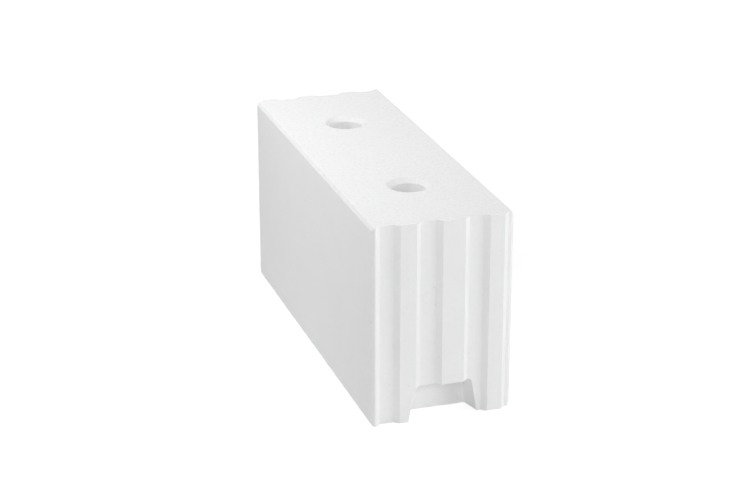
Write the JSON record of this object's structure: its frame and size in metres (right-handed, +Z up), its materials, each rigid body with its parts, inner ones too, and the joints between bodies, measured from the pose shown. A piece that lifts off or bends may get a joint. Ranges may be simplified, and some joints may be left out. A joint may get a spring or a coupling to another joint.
{
  "type": "calcium silicate block",
  "caption": "White calcium silicate wall block with tongue-and-groove ends, round handling holes down through it, a finger grip at the foot of each end and chamfered arrises.",
  "frame": {"origin": "middle of the lower bed face, on the floor that the block stands on", "axes": "+X across the wall thickness, +Y along the length from the end whose grooves are cut in towards the end whose tongues stand out, +Z up"},
  "size_m": [0.175, 0.5034, 0.248],
  "materials": {
    "calcium_silicate": "pressed and steam-hardened sand-lime, matt white, fine sand grain"
  },
  "bodies": {
    "root": {"block": "calcium_silicate"}
  },
  "joints": []
}
